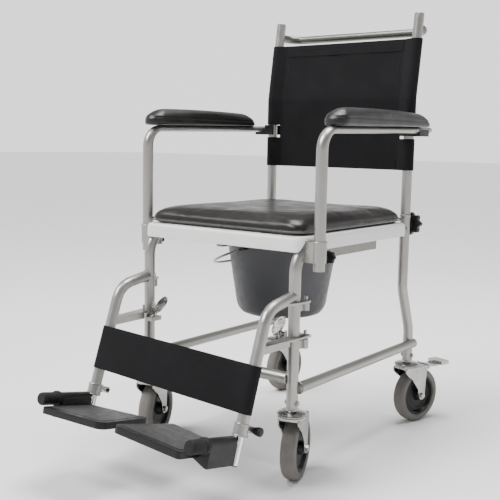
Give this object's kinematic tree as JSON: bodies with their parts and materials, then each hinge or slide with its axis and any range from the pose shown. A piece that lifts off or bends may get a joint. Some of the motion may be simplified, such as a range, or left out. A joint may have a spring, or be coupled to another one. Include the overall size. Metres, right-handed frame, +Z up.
{
  "type": "wheeled commode chair",
  "caption": "Attendant-pushed commode chair on castors: tubular frame, padded seat over a sliding pan, sling back, swing-away armrests and footrests.",
  "frame": {"origin": "on the floor, under the middle of the whole chair", "axes": "+Z up, +X to the sitter's left, the sitter faces -Y"},
  "size_m": [0.488, 0.899, 0.9316],
  "materials": {
    "beige_plastic": "satin warm grey",
    "black_plastic": "satin black",
    "black_rubber": "matt black",
    "grey_paint": "satin grey powder coat",
    "grey_plastic": "satin grey",
    "hub": "moulded black",
    "silver_paint": "smooth silver-grey powder coat",
    "sling_cloth": "closely woven black nylon",
    "tyre": "smooth grey rubber",
    "vinyl": "soft black vinyl",
    "white_plastic": "smooth white",
    "zinc": "bright zinc plate"
  },
  "bodies": {
    "frame": {"side_tube_left": "silver_paint", "side_tube_right": "silver_paint", "rear_leg_left": "silver_paint", "rear_leg_right": "silver_paint", "lower_rail_left": "silver_paint", "lower_rail_right": "silver_paint", "front_cross_tube": "silver_paint", "seat_cross_front": "silver_paint", "seat_cross_rear": "silver_paint", "armrest_socket_left": "silver_paint", "armrest_socket_right": "silver_paint", "pan_rail_left": "beige_plastic", "pan_rail_right": "beige_plastic", "seat_board": "white_plastic"},
    "cushion": {"seat_cushion": "vinyl"},
    "backrest": {"back_upright_left": "silver_paint", "back_upright_right": "silver_paint", "push_bar": "grey_paint", "back_sling": "sling_cloth"},
    "pan": {"commode_pan": "grey_plastic"},
    "bail": {"pan_handle": "zinc"},
    "star_knob_left": {"star_knob_left": "black_plastic"},
    "armrest_left": {"armrest_tube_left": "silver_paint", "armrest_pad_left": "vinyl", "armrest_clip_left": "black_plastic"},
    "lock_knob_left": {"armrest_lock_knob_left": "black_plastic"},
    "hanger_left": {"footrest_hanger_left": "silver_paint", "calf_strap_left": "sling_cloth"},
    "latch_left": {"latch_lever_left": "zinc"},
    "footrest_left": {"footrest_tube_left": "zinc", "footplate_cap_left": "black_rubber"},
    "clamp_knob_left": {"clamp_knob_left": "black_plastic"},
    "footplate_left": {"footplate_left": "black_plastic"},
    "star_knob_right": {"star_knob_right": "black_plastic"},
    "armrest_right": {"armrest_tube_right": "silver_paint", "armrest_pad_right": "vinyl", "armrest_clip_right": "black_plastic"},
    "lock_knob_right": {"armrest_lock_knob_right": "black_plastic"},
    "hanger_right": {"footrest_hanger_right": "silver_paint", "calf_strap_right": "sling_cloth"},
    "latch_right": {"latch_lever_right": "zinc"},
    "footrest_right": {"footrest_tube_right": "zinc", "footplate_cap_right": "black_rubber"},
    "clamp_knob_right": {"clamp_knob_right": "black_plastic"},
    "footplate_right": {"footplate_right": "black_plastic"},
    "castor_front_left": {"castor_fork_front_left": "zinc"},
    "wheel_front_left": {"castor_tyre_front_left": "tyre", "castor_hub_front_left": "hub"},
    "castor_front_right": {"castor_fork_front_right": "zinc"},
    "wheel_front_right": {"castor_tyre_front_right": "tyre", "castor_hub_front_right": "hub"},
    "castor_rear_left": {"castor_fork_rear_left": "zinc"},
    "wheel_rear_left": {"castor_tyre_rear_left": "tyre", "castor_hub_rear_left": "hub"},
    "brake_rear_left": {"brake_pedal_rear_left": "zinc"},
    "castor_rear_right": {"castor_fork_rear_right": "zinc"},
    "wheel_rear_right": {"castor_tyre_rear_right": "tyre", "castor_hub_rear_right": "hub"},
    "brake_rear_right": {"brake_pedal_rear_right": "zinc"}
  },
  "joints": [
    {"name": "cushion_lift", "type": "slide", "parent": "frame", "child": "cushion", "axis": [0, 0, 1], "range_m": [0, 0.06]},
    {"name": "backrest_lift", "type": "slide", "parent": "frame", "child": "backrest", "axis": [0, 0, 1], "range_m": [0, 0.055]},
    {"name": "pan_slide", "type": "slide", "parent": "frame", "child": "pan", "axis": [0, 1, 0], "range_m": [0, 0.25]},
    {"name": "bail_swing", "type": "hinge", "parent": "pan", "child": "bail", "pos_m": [0, 0.07348, 0.426], "axis": [0, -1, 0], "range_deg": [-6, 26]},
    {"name": "star_knob_left_turn", "type": "hinge", "parent": "frame", "child": "star_knob_left", "pos_m": [0.1845, 0.31548, 0.467], "axis": [0, 1, 0], "continuous": true},
    {"name": "armrest_left_swing", "type": "hinge", "parent": "frame", "child": "armrest_left", "pos_m": [0.2175, -0.11952, 0.44], "axis": [0, 0, -1], "range_deg": [0, 90]},
    {"name": "lock_knob_left_pull", "type": "slide", "parent": "frame", "child": "lock_knob_left", "axis": [0, 1, 0], "range_m": [0, 0.008], "stiffness_N_per_m": 300},
    {"name": "hanger_left_swing", "type": "hinge", "parent": "frame", "child": "hanger_left", "pos_m": [0.194, -0.12352, 0.3], "axis": [0, 0, 1], "range_deg": [0, 100], "deforming": ["calf_strap_left"]},
    {"name": "latch_left_press", "type": "hinge", "parent": "frame", "child": "latch_left", "pos_m": [0.1635, -0.15552, 0.285], "axis": [0, 0, -1], "range_deg": [0, 20], "stiffness_Nm_per_rad": 0.3},
    {"name": "footrest_left_height", "type": "slide", "parent": "hanger_left", "child": "footrest_left", "axis": [0, -0.3322, -0.9432], "range_m": [0, 0.06]},
    {"name": "clamp_knob_left_turn", "type": "hinge", "parent": "hanger_left", "child": "clamp_knob_left", "pos_m": [0.1995, -0.27427, 0.1415], "axis": [1, 0, 0], "continuous": true},
    {"name": "footplate_left_flip", "type": "hinge", "parent": "footrest_left", "child": "footplate_left", "pos_m": [0.1845, -0.36918, 0.14147], "axis": [0, 0.9781, -0.2079], "range_deg": [0, 80]},
    {"name": "star_knob_right_turn", "type": "hinge", "parent": "frame", "child": "star_knob_right", "pos_m": [-0.1845, 0.31548, 0.467], "axis": [0, 1, 0], "continuous": true},
    {"name": "armrest_right_swing", "type": "hinge", "parent": "frame", "child": "armrest_right", "pos_m": [-0.2175, -0.11952, 0.44], "axis": [0, 0, 1], "range_deg": [0, 90]},
    {"name": "lock_knob_right_pull", "type": "slide", "parent": "frame", "child": "lock_knob_right", "axis": [0, 1, 0], "range_m": [0, 0.008], "stiffness_N_per_m": 300},
    {"name": "hanger_right_swing", "type": "hinge", "parent": "frame", "child": "hanger_right", "pos_m": [-0.194, -0.12352, 0.3], "axis": [0, 0, -1], "range_deg": [0, 100], "deforming": ["calf_strap_right"]},
    {"name": "latch_right_press", "type": "hinge", "parent": "frame", "child": "latch_right", "pos_m": [-0.1635, -0.15552, 0.285], "axis": [0, 0, 1], "range_deg": [0, 20], "stiffness_Nm_per_rad": 0.3},
    {"name": "footrest_right_height", "type": "slide", "parent": "hanger_right", "child": "footrest_right", "axis": [0, -0.3322, -0.9432], "range_m": [0, 0.06]},
    {"name": "clamp_knob_right_turn", "type": "hinge", "parent": "hanger_right", "child": "clamp_knob_right", "pos_m": [-0.1995, -0.27427, 0.1415], "axis": [1, 0, 0], "continuous": true},
    {"name": "footplate_right_flip", "type": "hinge", "parent": "footrest_right", "child": "footplate_right", "pos_m": [-0.1845, -0.36752, 0.14619], "axis": [0, -0.9781, 0.2079], "range_deg": [0, 80]},
    {"name": "castor_front_left_swivel", "type": "hinge", "parent": "frame", "child": "castor_front_left", "pos_m": [0.1845, -0.14752, 0.14], "axis": [0, 0, 1], "continuous": true},
    {"name": "wheel_front_left_spin", "type": "hinge", "parent": "castor_front_left", "child": "wheel_front_left", "pos_m": [0.1743, -0.11613, 0.0625], "axis": [0.9511, 0.309, 0], "continuous": true},
    {"name": "castor_front_right_swivel", "type": "hinge", "parent": "frame", "child": "castor_front_right", "pos_m": [-0.1845, -0.14752, 0.14], "axis": [0, 0, 1], "continuous": true},
    {"name": "wheel_front_right_spin", "type": "hinge", "parent": "castor_front_right", "child": "wheel_front_right", "pos_m": [-0.1947, -0.11613, 0.0625], "axis": [0.9511, 0.309, 0], "continuous": true},
    {"name": "castor_rear_left_swivel", "type": "hinge", "parent": "frame", "child": "castor_rear_left", "pos_m": [0.1845, 0.32448, 0.14], "axis": [0, 0, 1], "continuous": true},
    {"name": "wheel_rear_left_spin", "type": "hinge", "parent": "castor_rear_left", "child": "wheel_rear_left", "pos_m": [0.1936, 0.3562, 0.0625], "axis": [0.9613, -0.2756, 0], "continuous": true},
    {"name": "brake_rear_left_press", "type": "hinge", "parent": "castor_rear_left", "child": "brake_rear_left", "pos_m": [0.19938, 0.37639, 0.129], "axis": [-0.9613, 0.2756, 0], "range_deg": [0, 10]},
    {"name": "castor_rear_right_swivel", "type": "hinge", "parent": "frame", "child": "castor_rear_right", "pos_m": [-0.1845, 0.32448, 0.14], "axis": [0, 0, 1], "continuous": true},
    {"name": "wheel_rear_right_spin", "type": "hinge", "parent": "castor_rear_right", "child": "wheel_rear_right", "pos_m": [-0.18335, 0.35746, 0.0625], "axis": [0.9994, -0.0349, 0], "continuous": true},
    {"name": "brake_rear_right_press", "type": "hinge", "parent": "castor_rear_right", "child": "brake_rear_right", "pos_m": [-0.18261, 0.37845, 0.129], "axis": [-0.9994, 0.0349, 0], "range_deg": [0, 10]}
  ]
}
